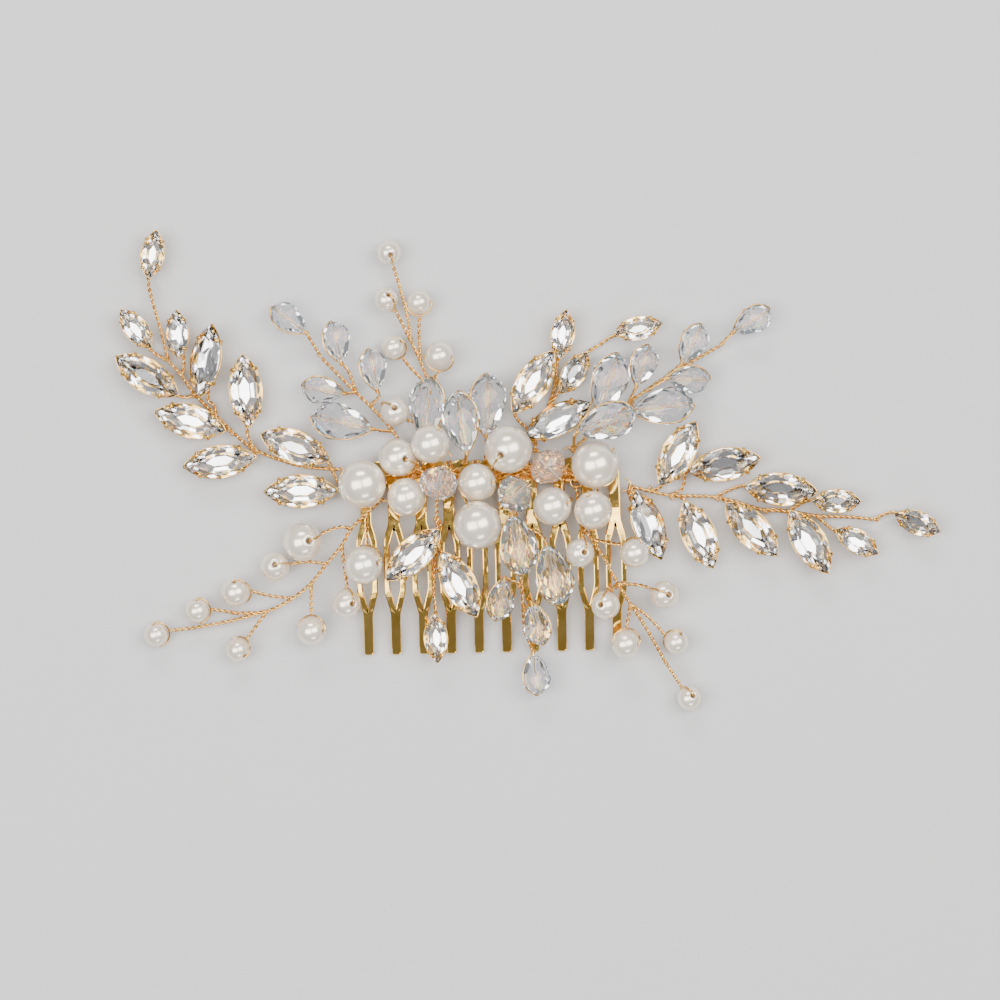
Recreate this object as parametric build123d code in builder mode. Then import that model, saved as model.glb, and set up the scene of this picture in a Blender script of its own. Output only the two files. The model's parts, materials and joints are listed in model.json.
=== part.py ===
from build123d import *
import math
import os
from collections import namedtuple

# A bridal hair comb: a stamped ten-tooth comb with ten wired sprigs of pearls, cut
# crystals and set marquise stones bound to its spine. Millimetres, +Z up, the comb
# lying with its arch upwards, +X along the spine, +Y away from the tooth tips.
# The origin is the middle of the spine's flat back face.

# ---- driving dimensions ----
tooth_count = 10
tooth_pitch = 5.77
sheet = 0.9  # thickness of the stamped sheet
spine_tilt = 15  # degrees the spine leans while the comb lies on a table
spine_low_y = -2.5
spine_crest_y = 2.4
lobe_radius = 3.6
end_bar_y = 0.9  # top of the outer teeth and floor of the notches between the lobes
tip_y = -38.2
tip_z = -0.70
bar_half = 1.2  # half width of a tooth next to the spine
leg_half = 2.2  # half width of a tooth across its eye
tip_half = 1.0
eye_half = 1.0
sheet_depth = 10  # more than the arch's rise, to cut the outline through it

stone_sizes = {"large": (15.0, 7.0), "small": (10.0, 5.0)}
drop_sizes = {"large": (12.0, 7.7), "small": (8.0, 5.8)}
crystal_diameter = 7.8
crystal_length = 7.0
hole_radius = 0.45  # bore drilled through each bead
core_radius = 0.2  # single wire through a bead
pin_radius = 0.2  # base wire that passes through a sprig's eye
loop_gap = 0.12  # room between a bead and the wire that returns round it
stem_radius = 0.4  # over the twisted pair
branch_radius = 0.36  # over the twisted pair of a branch
loop_radius = 0.18  # single wire that returns round a bead
eye_radius = 0.5  # wound eye that the stem bends at
eye_length = 1.4
eye_clearance = 0.05
least_bend = 2  # degrees; a smaller turn of a wire counts as straight
binding_radius = 0.16

Stone = namedtuple("Stone", "size x y z heading roll joins via")
Drop = namedtuple("Drop", "size x y z heading rise joins via")
Pearl = namedtuple("Pearl", "diameter x y z heading rise joins via")


# ---- layout of each sprig: the stem's points, then what hangs on it ----
# heading is the plan direction, in degrees, in which a stone or drop points away from
# its stem, rise how far it tips up, and roll how far a stone leans about its length;
# joins counts the stem point its own wire leaves from; via are points on the way.

left_leaf_stem = [
    (-28.4, 0.7, 1.6), (-33, 0.9, 1.4), (-38.5, 1.4, 1.1), (-43.5, 2.9, 0.9), (-49, 5.1, 0.8),
    (-53, 8.4, 0.8), (-57, 12.8, 0.8), (-61.2, 16.8, 0.8), (-63.8, 21, 0.9), (-66.6, 24.2, 1.1),
]
left_leaf_stones = [
    Stone("small", -69.3, 46.4, 3.4, 80, 8, 9, [(-68, 30.6, 1.2), (-69.6, 36.5, 1.4)]),
    Stone("small", -73.1, 31.0, 3.0, 127, 10, 9, []),
    Stone("small", -64.5, 29.6, 3.4, 92, -18, 8, [(-63.4, 22.8, 1.1)]),
    Stone("large", -71.0, 21.2, 3.6, 147, 6, 7, []),
    Stone("large", -58.7, 24.0, 3.9, 79, -24, 6, [(-57.2, 15, 1.0)]),
    Stone("large", -62.2, 11.5, 3.6, 164, -5, 5, []),
    Stone("large", -56.2, 2.9, 3.6, 187, -8, 4, []),
    Stone("large", -50.4, 17.6, 3.7, 94, 12, 4, [(-50.2, 7.5, 0.9)]),
    Stone("large", -40.4, 5.7, 4.0, 158, 8, 1, []),
    Stone("large", -39.4, -3.6, 3.8, 180, -6, 1, [(-31.8, -1.8, 1.3)]),
]

right_leaf_stem = [
    (29.3, -4.0, 1.6), (33, -5, 1.3), (37.6, -6.2, 1.1), (42.5, -6.3, 0.9), (47, -6.5, 0.8),
    (52.5, -8, 0.8), (57, -9.7, 0.8), (62.2, -9.8, 0.8), (68, -11.1, 0.9), (75, -11.3, 1.0),
    (80, -12, 1.1),
]
right_leaf_stones = [
    Stone("large", 39.3, 2.6, 3.4, 60, -8, 1, []),
    Stone("large", 49.0, 0.1, 3.7, 9, 10, 2, [(40.6, -4.9, 1.2)]),
    Stone("large", 60.6, -5.3, 3.6, -5, 8, 4, []),
    Stone("small", 72.2, -8.0, 3.2, -2, 6, 7, []),
    Stone("small", 76.4, -16.5, 3.0, -31, -8, 8, []),
    Stone("small", 89.0, -12.9, 3.2, -23, 10, 10, []),
    Stone("large", 32.9, -12.1, 3.9, -70, -24, 0, [(29.6, -5.8, 1.3)]),
    Stone("large", 43.3, -14.4, 3.7, -68, 8, 2, []),
    Stone("large", 54.4, -13.5, 3.6, -47, 6, 4, []),
    Stone("large", 66.4, -16.4, 3.6, -60, -6, 6, []),
]

upper_leaf_stem = [(9.6, 3.9, 0.8), (9.8, 7, 0.5), (12.2, 12, 0.2), (14.2, 17.6, 0.3)]
upper_leaf_stones = [
    Stone("large", 9.5, 18.1, 4.2, 56, 6, 1, []),
    Stone("large", 14.4, 10.2, 4.7, 26, -24, 1, []),
    Stone("small", 18.1, 19.9, 3.3, 56, 12, 2, []),
    Stone("small", 15.9, 28.0, 3.4, 81, 8, 3, []),
    Stone("small", 31.6, 28.9, 3.2, 11, -6, 3, [(18.6, 23, 0.3), (24, 25.9, 0.8)]),
]

lower_leaf_stem = [
    (-11.1, -5.4, 3.1), (-11.2, -9.5, 4.3), (-10.9, -14, 4.8), (-11.7, -19, 4.8), (-12.2, -25, 4.3),
]
lower_leaf_stones = [
    Stone("large", -16.2, -17.3, 8.0, -138, 8, 1, []),
    Stone("large", -6.7, -23.6, 8.0, -63, -8, 2, []),
    Stone("small", -11.9, -34.8, 5.0, -87, 6, 4, []),
]

upper_left_drop_stem = [
    (-17.8, 4.4, 1.0), (-19.9, 8.8, 1.1), (-24.6, 13.9, 1.2), (-27.6, 16.8, 1.3), (-30.4, 19.8, 1.4),
    (-34.6, 24.2, 1.7),
]
upper_left_drops = [
    Drop("small", -41.3, 32.4, 2.9, 141, 0, 5, []),
    Drop("small", -31.3, 27.5, 3.2, 101, 0, 3, [(-28.9, 21.4, 2.0)]),
    Drop("small", -23.8, 21.6, 3.2, 99, 0, 2, [(-22.4, 16.0, 2.0)]),
    Drop("small", -34.6, 17.4, 3.4, 170, 0, 3, []),
    Drop("large", -30.8, 10.6, 4.2, 167, 0, 1, [(-22.4, 8.6, 2.4)]),
]

upper_right_drop_stem = [
    (17.4, 3.9, 1.0), (20.2, 6.2, 1.0), (25.5, 10.5, 0.9), (29.4, 13.6, 1.1), (33, 15.9, 1.3),
    (37.4, 18.8, 1.5), (43.5, 22.2, 1.8), (48.5, 24.9, 2.1),
]
upper_right_drops = [
    Drop("small", 55.5, 30.1, 3.0, 31, 0, 7, []),
    Drop("small", 42.9, 25.6, 3.6, 61, 0, 5, []),
    Drop("small", 42.1, 18.1, 3.2, -3, 0, 4, []),
    Drop("small", 32.5, 21.3, 3.5, 71, 0, 3, []),
    Drop("large", 25.3, 17.8, 4.0, 69, 0, 2, []),
    Drop("large", 36.6, 12.4, 5.4, 6, 0, 3, []),
    Drop("large", 24.6, 9.5, 9.6, 19, 0, 0, [(17.6, 6.4, 5.4)]),
]

lower_drop_stem = [
    (5.4, -7.6, 3.0), (5.2, -11, 4.2), (5.6, -17, 4.4), (6.2, -24, 4.2), (6.4, -29, 3.6),
    (6.6, -33.5, 2.6),
]
lower_drops = [
    Drop("large", 5.6, -15.8, 11.0, -80, 0, 1, [(4.6, -10.6, 7.5)]),
    Drop("large", 12.9, -22.2, 7.9, -78, 0, 1, [(10.6, -13.4, 6.2)]),
    Drop("small", 1.7, -27.2, 7.0, -102, 0, 3, []),
    Drop("small", 9.2, -32.4, 6.6, -77, 0, 4, []),
    Drop("small", 8.8, -42.9, 2.8, -84, 0, 5, []),
]

top_pearl_stem = [
    (-9.4, 4.0, 0.6), (-10.4, 9, 0.1), (-12, 17.8, 0.5), (-13.9, 23, 1.1), (-15.8, 27.2, 1.3),
]
top_pearls = [
    Pearl(5, -20.0, 45.8, 2.6, -60, 70, 4, [(-16.4, 32.5, 1.6), (-18.3, 40, 1.9)]),
    Pearl(5, -20.8, 36.0, 2.6, 60, 60, 4, []),
    Pearl(5, -14.0, 35.3, 2.6, 0, 10, 3, [(-14.2, 29, 1.6)]),
    Pearl(5, -19.5, 26.1, 2.6, 35, 30, 2, [(-16.4, 22, 1.6)]),
    Pearl(6, -10.0, 24.0, 3.0, -10, 20, 2, []),
    Pearl(6, -19.4, 12.6, 4.6, 90, 75, 1, [(-20.0, 11.6, 0.2), (-22.0, 13.6, 1.4)]),
    Drop("large", -12.7, 13.4, 5.1, 84, 12, 0, []),
]

lower_left_pearl_stem = [
    (-22.8, -5.6, 2.9), (-26, -8.9, 3.7), (-29.2, -11.4, 3.9), (-31, -15.2, 3.8), (-34.4, -18.8, 3.4),
    (-37.6, -23, 2.9), (-41.6, -26, 2.4), (-47, -28.8, 2.0), (-53, -28.8, 1.8),
]
lower_left_pearls = [
    Pearl(8, -39.2, -14.2, 5.2, 10, 65, 2, [(-31.4, -11, 4.0)]),
    Pearl(6, -45.1, -19.2, 4.0, 80, 80, 4, [(-38.4, -18.2, 3.6)]),
    Pearl(6, -53.5, -24.4, 3.2, 95, 35, 6, [(-46, -25.4, 2.6)]),
    Pearl(5, -61.6, -28.1, 2.4, 95, 15, 8, []),
    Pearl(5, -70.3, -32.9, 2.2, 105, 20, 7, [(-54, -30.3, 1.7), (-62, -31.6, 1.6)]),
    Pearl(5, -53.3, -36.4, 2.4, -40, 30, 7, []),
    Pearl(6, -37.8, -32.8, 3.2, 0, 25, 5, []),
    Pearl(6, -30.3, -27.2, 6.4, 0, 60, 3, [(-30.6, -19.5, 4.9)]),
    Pearl(8, -26.5, -19.2, 8.4, 5, 35, 1, [(-25.9, -12.4, 5.6)]),
]

lower_right_pearl_stem = [
    (18.1, -3.9, 2.9), (18.4, -11, 4.3), (20.8, -14.8, 4.7), (23.6, -18.8, 4.7), (26.2, -24.4, 4.4),
    (28.8, -28.6, 3.9), (32, -33.6, 3.0), (35.6, -40.4, 2.0),
]
lower_right_pearls = [
    Pearl(6, 18.4, -17.6, 8.2, 10, 70, 1, []),
    Pearl(6, 23.5, -28.6, 6.9, 170, 65, 4, []),
    Pearl(6, 29.7, -17.9, 9.3, 60, 20, 2, [(25.6, -16, 6.4)]),
    Pearl(6, 27.6, -36.8, 5.0, 0, 25, 5, []),
    Pearl(6, 35.8, -26.7, 4.6, 0, 70, 4, [(30.6, -24.5, 4.2)]),
    Pearl(5, 38.2, -36.7, 3.2, 60, 30, 5, [(32.6, -31.2, 3.5)]),
    Pearl(5, 40.7, -48.5, 2.4, 45, 65, 7, []),
]

sprigs = {
    "left_leaf": (left_leaf_stem, left_leaf_stones),
    "right_leaf": (right_leaf_stem, right_leaf_stones),
    "upper_leaf": (upper_leaf_stem, upper_leaf_stones),
    "lower_leaf": (lower_leaf_stem, lower_leaf_stones),
    "upper_left_drop": (upper_left_drop_stem, upper_left_drops),
    "upper_right_drop": (upper_right_drop_stem, upper_right_drops),
    "lower_drop": (lower_drop_stem, lower_drops),
    "top_pearl": (top_pearl_stem, top_pearls),
    "lower_left_pearl": (lower_left_pearl_stem, lower_left_pearls),
    "lower_right_pearl": (lower_right_pearl_stem, lower_right_pearls),
}
pearl_names = {5: "small", 6: "medium", 8: "large"}

# ornaments that sit close on the spine: diameter, centre, and the hole's heading and rise
centre_pearls = {
    "left_hero_pearl": (10, -26.5, -2.4, 7.8, 150, 20),
    "upper_left_pearl": (8, -19.0, 3.0, 6.3, -15, 62),
    "upper_middle_pearl": (8, -12.1, 5.6, 9.4, 60, 25),
    "lower_outer_pearl": (8, -17.4, -5.3, 7.0, 120, 20),
    "middle_pearl": (8, -2.7, -2.6, 6.6, 0, 30),
    "lower_hero_pearl": (10, -2.7, -11.4, 9.8, 115, 20),
    "upper_hero_pearl": (10, 4.0, 4.2, 7.8, 218, 62),
    "lower_inner_pearl": (8, 12.9, -7.8, 7.8, 10, 30),
    "right_hero_pearl": (10, 22.0, 0.6, 7.0, 40, 20),
    "right_lower_pearl": (8, 21.3, -8.8, 8.6, 110, 30),
}
# where an ornament's wire reaches the spine, if not straight behind it
wire_foot_x = {
    "upper_left_pearl": -17.4,
    "lower_hero_pearl": -7.2,
    "lower_inner_pearl": 15.6,
    "right_lower_pearl": 23.6,
}
centre_crystals = {
    "left_crystal": (-10.6, -2.5, 9.6, 75, 35),
    "middle_crystal": (5.1, -5.2, 7.6, 30, 18),
    "right_crystal": (12.1, 0.4, 6.3, -45, 20),
}
crown_drops = [
    Drop("large", -5.6, 10.2, 9.1, 98, 8, 0, []),
    Drop("large", -0.2, 13.8, 4.2, 87, 0, 0, []),
]
crown_wire_feet = [(-5.2, 1.6, 1.5), (-0.8, 1.8, 1.4)]


# ---- small helpers ----
def along(point, heading, distance, rise=0.0):
    """The point a distance away in plan direction heading, and higher by rise."""
    turn = math.radians(heading)
    x, y, z = point
    return (x + distance * math.cos(turn), y + distance * math.sin(turn), z + rise)


def export(builder, name):
    builder.part.label = name
    export_step(builder.part, f"parts/{name}.step")


def bend_radii(points):
    """A radius for each corner of a wire: 0.45 of its shorter run over tan of half the turn."""
    radii = []
    for before, corner, after in zip(points, points[1:], points[2:]):
        run_in = corner - before
        run_out = after - corner
        half_turn = math.radians(run_in.get_angle(run_out)) / 2
        radii.append(0.45 * min(run_in.length, run_out.length) / math.tan(half_turn))
    return radii


def wire_line(points):
    """A wire's centre line: straight runs joined by arcs as large as the runs allow."""
    kept = [Vector(*points[0])]
    for corner, after in zip(points[1:], points[2:]):
        turn = (Vector(*corner) - kept[-1]).get_angle(Vector(*after) - Vector(*corner))
        if turn > least_bend:
            kept.append(Vector(*corner))
    kept.append(Vector(*points[-1]))
    with BuildLine() as path:
        if len(kept) == 2:
            Line(*kept)
        else:
            FilletPolyline(*kept, radius=bend_radii(kept))
    return path.wire()


def sweep_round(line, radius):
    with BuildPart() as tube:
        with BuildSketch(Plane(line @ 0, z_dir=line % 0)):
            Circle(radius)
        sweep(path=line)
    return tube.part


def wire_tube(points, radius):
    return sweep_round(wire_line(points), radius)


# ---- the cut of the stones and beads ----
def boat_reach(half_length, half_width, turn):
    """How far a marquise outline of two arcs reaches in plan direction turn (radians)."""
    arc = (half_length**2 + half_width**2) / (2 * half_width)
    if abs(math.cos(turn)) * arc > half_length:
        return half_length * abs(math.cos(turn))
    return arc - (arc - half_width) * abs(math.sin(turn))


def cut_facet(turn, slope, reach, height):
    """Grind one flat facet: it faces turn and slope, and passes reach out at height."""
    facing = (math.cos(turn) * math.sin(slope), math.sin(turn) * math.sin(slope), math.cos(slope))
    point = (math.cos(turn) * reach, math.sin(turn) * reach, height)
    split(bisect_by=Plane(point, z_dir=facing), keep=Keep.BOTTOM)


def cut_marquise(length, width):
    """A pointed stone with its girdle at z = 0, a table above it and a keel below."""
    half_length, half_width = length / 2, 0.965 * width / 2
    crown, girdle, keel = 0.21 * width, 0.05 * width, 0.36 * width
    rows = [
        # facets, slope in degrees, share of the outline's reach, height, offset of the row
        (20, 90, 1.0, 0.0, 0.5),
        (12, 40, 1.0, girdle, 0.5),
        (12, 27, 0.84, 0.68 * crown, 0.0),
        (12, 180 - 47, 1.0, -girdle, 0.5),
        (12, 180 - 36, 0.62, -0.66 * keel, 0.0),
    ]
    with BuildPart() as stone:
        with BuildSketch(Plane.XY.offset(-keel)):
            Rectangle(length + 1, width + 1)
        extrude(amount=keel + crown)
        for facets, slope, share, height, offset in rows:
            for index in range(facets):
                turn = (index + offset) * 2 * math.pi / facets
                reach = share * boat_reach(half_length, half_width, turn)
                cut_facet(turn, math.radians(slope), reach, height)
    return stone.part


def cut_rows(length, diameter, facets, rows):
    """A bead ground in rows of facets round its long axis (Z), then drilled along it."""
    radius = diameter / 2
    with BuildPart() as bead:
        with BuildSketch(Plane.XY.offset(-length / 2)):
            Circle(radius + 1)
        extrude(amount=length)
        for height, share, slope, offset in rows:
            for index in range(facets):
                turn = (index + offset) * 2 * math.pi / facets
                cut_facet(turn, math.radians(slope), share * radius, height * length)
        Hole(hole_radius)
    return bead.part


drop_rows = [
    # height as a share of the length, reach as a share of the radius, slope, offset
    (0.40, 0.62, 38, 0.5),
    (0.27, 0.88, 62, 0.0),
    (0.10, 0.99, 86, 0.5),
    (-0.12, 0.90, 100, 0.0),
    (-0.30, 0.66, 110, 0.5),
    (-0.44, 0.40, 130, 0.0),
]
crystal_rows = [
    (0.36, 0.56, 40, 0.0),
    (0.18, 0.90, 58, 0.5),
    (0.0, 0.99, 90, 0.0),
    (-0.18, 0.90, 122, 0.5),
    (-0.36, 0.56, 140, 0.0),
]


def make_setting(stone, length, width):
    """A stamped cup under a marquise stone with four claws over its edge."""
    wall, floor, room = 0.25, 0.3, 0.12
    depth = 0.36 * width + 0.15
    claw_radius = 0.075 * width
    with BuildPart() as setting:
        with BuildSketch(Plane.XY.offset(-0.2)):
            add(marquise_face(length / 2 + room + wall, width / 2 + room + wall))
        extrude(amount=-(depth - 0.2 + floor), taper=14)
        with BuildSketch(Plane.XY.offset(-0.2)):
            add(marquise_face(length / 2 + room, width / 2 + room))
        extrude(amount=-(depth - 0.2), taper=10, mode=Mode.SUBTRACT)
        for side_x in (-1, 1):
            for side_y in (-1, 1):
                x = side_x * length * 0.30
                y = side_y * (half_width_at(length / 2, width / 2, x) + room + 0.5 * claw_radius)
                with Locations((x, y, -0.6)):
                    Cylinder(claw_radius, 1.2 + 0.06 * width)
                with Locations((x, y, 0.09 * width)):
                    Sphere(claw_radius * 1.15)
        # the cup and its claws are pressed round the stone, with a little room
        add(scale(stone, by=(1.02, 1.05, 1.06), mode=Mode.PRIVATE), mode=Mode.SUBTRACT)
    return setting.part


def half_width_at(half_length, half_width, x):
    """Half width of the marquise outline at x along it."""
    arc = (half_length**2 + half_width**2) / (2 * half_width)
    return math.sqrt(arc**2 - x**2) - (arc - half_width)


def marquise_face(half_length, half_width):
    with BuildSketch() as face:
        with BuildLine():
            ThreePointArc((-half_length, 0), (0, half_width), (half_length, 0))
            ThreePointArc((half_length, 0), (0, -half_width), (-half_length, 0))
        make_face()
    return face.sketch


# ---- placing ----
def plan_direction(heading, rise=0.0):
    """Unit vector in plan direction heading, rising by an angle in degrees."""
    turn, lift = math.radians(heading), math.radians(rise)
    return Vector(math.cos(turn) * math.cos(lift), math.sin(turn) * math.cos(lift), math.sin(lift))


def stone_plane(stone):
    """Length along the heading, face up, then rolled about the length."""
    roll = math.radians(stone.roll)
    up = Vector(0, 0, math.cos(roll)) - plan_direction(stone.heading + 90) * math.sin(roll)
    return Plane((stone.x, stone.y, stone.z), x_dir=plan_direction(stone.heading), z_dir=up)


def bead_place(centre, heading, rise):
    """The drilled axis (local Z) along heading and rise."""
    across = plan_direction(heading + 90)
    return Plane(centre, x_dir=across, z_dir=plan_direction(heading, rise)).location


def drop_place(drop):
    return bead_place((drop.x, drop.y, drop.z), drop.heading, drop.rise)


def pearl_place(pearl):
    return bead_place((pearl.x, pearl.y, pearl.z), pearl.heading, pearl.rise)


def copies(shape, places):
    with BuildPart() as group:
        for place in places:
            with Locations(place):
                add(shape)
    return group


def copies_by_size(shapes, stones):
    with BuildPart() as group:
        for stone in stones:
            with Locations(stone_plane(stone).location):
                add(shapes[stone.size])
    return group


def make_pearl(diameter):
    with BuildPart() as pearl:
        Sphere(diameter / 2)
        Hole(hole_radius)
    return pearl.part


cut_stones = {size: cut_marquise(*stone_sizes[size]) for size in stone_sizes}
settings = {size: make_setting(cut_stones[size], *stone_sizes[size]) for size in stone_sizes}
cut_drops = {size: cut_rows(*drop_sizes[size], 9, drop_rows) for size in drop_sizes}
cut_crystal = cut_rows(crystal_length, crystal_diameter, 8, crystal_rows)


# ---- the comb ----
def make_comb():
    lean = math.radians(spine_tilt)
    half_span = (tooth_count - 1) * tooth_pitch / 2
    tooth_xs = [index * tooth_pitch - half_span for index in range(tooth_count)]
    lobe_y = spine_crest_y - lobe_radius
    # side view of the sheet's back face, each as (y, z)
    beyond_crest = (spine_crest_y + 1, -(spine_crest_y + 1) * math.tan(lean))
    shoulder = (spine_low_y, -spine_low_y * math.tan(lean))
    beyond_tip = (tip_y - 1, tip_z - 0.33)
    towards_tip = (-math.cos(lean), math.sin(lean))
    with BuildPart() as comb:
        # the bent sheet, seen from its end: a straight spine, then one long arc
        with BuildSketch(Plane.YZ):
            with BuildLine():
                Line(beyond_crest, shoulder)
                TangentArc(shoulder, beyond_tip, tangent=towards_tip)
                offset(amount=sheet, side=Side.RIGHT)
            make_face()
        extrude(amount=half_span + tooth_pitch, both=True)
        # the stamped outline, seen from above
        with BuildSketch(Plane.XY.offset(-sheet_depth)):
            with Locations((0, (spine_low_y + end_bar_y) / 2)):
                Rectangle(2 * half_span + 2 * bar_half, end_bar_y - spine_low_y)
            with Locations(*[(x + tooth_pitch / 2, lobe_y) for x in tooth_xs[:-1]]):
                Circle(lobe_radius)
            with Locations((0, lobe_y - lobe_radius)):
                Rectangle(2 * half_span, 2 * (spine_low_y - lobe_y + lobe_radius), mode=Mode.SUBTRACT)
            for x in tooth_xs:
                with Locations((x, 0)):
                    add(tooth_outline)
                    add(eye_outline, mode=Mode.SUBTRACT)
        extrude(amount=2 * sheet_depth, mode=Mode.INTERSECT)
    return comb


def mirrored_outline(points, radii):
    """A closed outline that is the same left and right of x = 0, its corners rounded."""
    mirrored = [(-x, y) for x, y in reversed(points)]
    with BuildSketch() as outline:
        with BuildLine():
            Polyline(*points, *[p for p in mirrored if p not in points], close=True)
        make_face()
        for (x, y), radius in zip(points, radii):
            if radius:
                corners = [v for v in outline.vertices() if abs(abs(v.X) - x) + abs(v.Y - y) < 0.01]
                fillet(corners, radius)
    return outline.sketch


tooth_outline = mirrored_outline(
    [
        (bar_half, -1.5), (bar_half, -10.6), (leg_half, -14.2),
        (leg_half, -25.2), (tip_half, -29.6), (tip_half, tip_y),
    ],
    [0, 5, 6, 6, 5, 0.5],
)
eye_outline = mirrored_outline([(0, -12.0), (eye_half, -15.4), (eye_half, -24.4), (0, -28.4)], [0, 5, 5, 0])


def make_binding():
    """Thin wire wound round the spine: from each gap it slants to the notches on either side."""
    half_span = (tooth_count - 1) * tooth_pitch / 2
    low = spine_low_y / math.cos(math.radians(spine_tilt)) - 0.62
    high = 1.84  # just outside the notch between two lobes
    back, front = -binding_radius - 0.02, sheet + binding_radius + 0.02
    spine = Plane((0, 0, 0), x_dir=(1, 0, 0), z_dir=plan_direction(90, 90 - spine_tilt))
    with BuildPart() as binding:
        for gap in range(tooth_count - 1):
            middle = (gap + 0.5) * tooth_pitch - half_span
            for side in (-1, 1):
                low_x, high_x = middle + side * 0.35, middle + side * 2.5
                corners = [
                    (low_x, low, back), (high_x, high, back),
                    (high_x, high, front), (low_x, low, front),
                ]
                places = [spine.from_local_coords(corner) for corner in corners]
                with BuildPart(mode=Mode.PRIVATE) as turn:
                    with BuildLine() as path:
                        FilletPolyline(*places, radius=0.2, close=True)
                    with BuildSketch(Plane(path.line @ 0, z_dir=path.line % 0)):
                        Circle(binding_radius)
                    sweep()
                add(turn.part)
    return binding


# ---- wires ----
def straight_wire(start, end, radius):
    with BuildPart() as wire:
        with BuildSketch(Plane(start, z_dir=end - start)):
            Circle(radius)
        extrude(amount=(end - start).length)
    return wire.part


def bent_wire(start, middle, end, radius):
    with BuildPart() as wire:
        with BuildLine() as path:
            ThreePointArc(start, middle, end)
        with BuildSketch(Plane(path.line @ 0, z_dir=path.line % 0)):
            Circle(radius)
        sweep()
    return wire.part


def on_stem(stem, index):
    """The point of the bent stem nearest to one of the points that lead it."""
    nearest, _ = stem_line(stem).closest_points(Vertex(*stem[index]))
    return tuple(nearest)


def stem_line(stem):
    """The stem's centre line, starting just outside its wound eye."""
    first, second = Vector(*stem[0]), Vector(*stem[1])
    outside = tuple(first + (second - first).normalized() * 0.35)
    return wire_line([outside, *stem[1:]])


def bead_axis(bead):
    """Unit vector along the drilled hole of a pearl or drop."""
    return plan_direction(bead.heading, bead.rise)


def pearl_wires(pearl, route):
    """Twisted branch along route to a pearl, and the single wire that loops through it."""
    centre = Vector(pearl.x, pearl.y, pearl.z)
    reach = pearl.diameter / 2 + loop_gap + core_radius
    axis = bead_axis(pearl)
    towards = centre - Vector(*route[-1])
    back = (towards - axis * towards.dot(axis)).normalized() * -reach
    return [
        wire_tube([*route, tuple(centre + back * 1.03)], branch_radius),
        straight_wire(centre - axis * (reach + 0.1), centre + axis * (reach + 0.1), core_radius),
        bent_wire(centre - axis * reach, centre + back, centre + axis * reach, loop_radius),
    ]


def drop_wires(drop, route):
    """Twisted branch to a drop, and the wire through its length with a curl at the end."""
    length, _ = drop_sizes[drop.size]
    centre = Vector(drop.x, drop.y, drop.z)
    axis = bead_axis(drop)
    near = centre - axis * (length / 2 + 0.7)
    far = centre + axis * (length / 2 + 0.1)
    return [
        wire_tube([*route, tuple(near)], branch_radius),
        straight_wire(near - axis * 0.1, far, core_radius),
        straight_wire(far, far + axis * 2 * core_radius, hole_radius + 0.1),
    ]


def stone_wires(stone, route):
    """Twisted branch that runs under a stone's cup."""
    length, width = stone_sizes[stone.size]
    under = 0.36 * width + 0.65 + stem_radius
    seat = stone_plane(stone)
    at_tip = seat.from_local_coords((-0.5 * length - 0.8, 0, -under))
    at_belly = seat.from_local_coords((-0.22 * length, 0, -under))
    return [wire_tube([*route, tuple(at_tip), tuple(at_belly)], branch_radius)]


wires_of = {Stone: stone_wires, Drop: drop_wires, Pearl: pearl_wires}


def root_directions(stem):
    """Plan directions at a stem's root: outwards along it, and the hinge axis across it."""
    first, second = Vector(*stem[0]), Vector(*stem[1])
    heading = math.degrees(math.atan2(second.Y - first.Y, second.X - first.X))
    return plan_direction(heading), plan_direction(heading - 90)


def make_stem(stem, items):
    """One sprig's twisted wire: the stem, its branches, and a wound eye at its root."""
    root = Vector(*stem[0])
    _, axis = root_directions(stem)
    with BuildPart() as wires:
        add(sweep_round(stem_line(stem), stem_radius))
        for item in items:
            route = [on_stem(stem, item.joins), *item.via]
            for piece in wires_of[type(item)](item, route):
                add(piece)
        with BuildSketch(Plane(root, z_dir=axis)):
            Circle(eye_radius)
        extrude(amount=eye_length / 2, both=True)
        with BuildSketch(Plane(root, z_dir=axis)):
            Circle(pin_radius + eye_clearance)
        extrude(amount=eye_length, both=True, mode=Mode.SUBTRACT)
    return wires


def make_anchors(stems):
    """Base wires: each comes out of the binding, through a sprig's eye and back."""
    half = eye_length / 2 + 0.35
    with BuildPart() as anchors:
        for stem in stems:
            root = Vector(*stem[0])
            outwards, axis = root_directions(stem)
            feet = [root + axis * side * half * 1.2 - outwards * 1.5 for side in (-1, 1)]
            route = [feet[0], root - axis * half, root + axis * half, feet[1]]
            with BuildPart(mode=Mode.PRIVATE) as anchor:
                with BuildLine() as path:
                    FilletPolyline(*route, radius=0.25)
                with BuildSketch(Plane(path.line @ 0, z_dir=path.line % 0)):
                    Circle(pin_radius)
                sweep()
            add(anchor.part)
    return anchors


def spine_top(y):
    return sheet / math.cos(math.radians(spine_tilt)) - y * math.tan(math.radians(spine_tilt))


def centre_wires(centre, radius, axis, foot_x):
    """Wire through an ornament on the spine, round under it, and down to the binding."""
    centre = Vector(*centre)
    reach = radius + loop_gap + core_radius
    foot_y = max(-1.9, min(1.4, centre.Y))
    foot = Vector(foot_x, foot_y, spine_top(foot_y) + 2 * binding_radius + 0.4)
    towards = foot - centre
    down = Vector(0.35 * towards.X, 0.35 * towards.Y, towards.Z)
    under = (down - axis * down.dot(axis)).normalized() * reach
    pieces = [
        straight_wire(centre - axis * (reach + 0.1), centre + axis * (reach + 0.1), core_radius),
        bent_wire(centre - axis * reach, centre + under, centre + axis * reach, loop_radius),
    ]
    if (foot - centre - under).length > 0.6:
        pieces.append(straight_wire(centre + under * 1.06, foot, branch_radius))
    return pieces


# ---- the build ----
comb = make_comb()
export(comb, "comb")
binding = make_binding()
export(binding, "binding_wire")
export(make_anchors([stem for stem, _ in sprigs.values()]), "anchor_wires")

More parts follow.
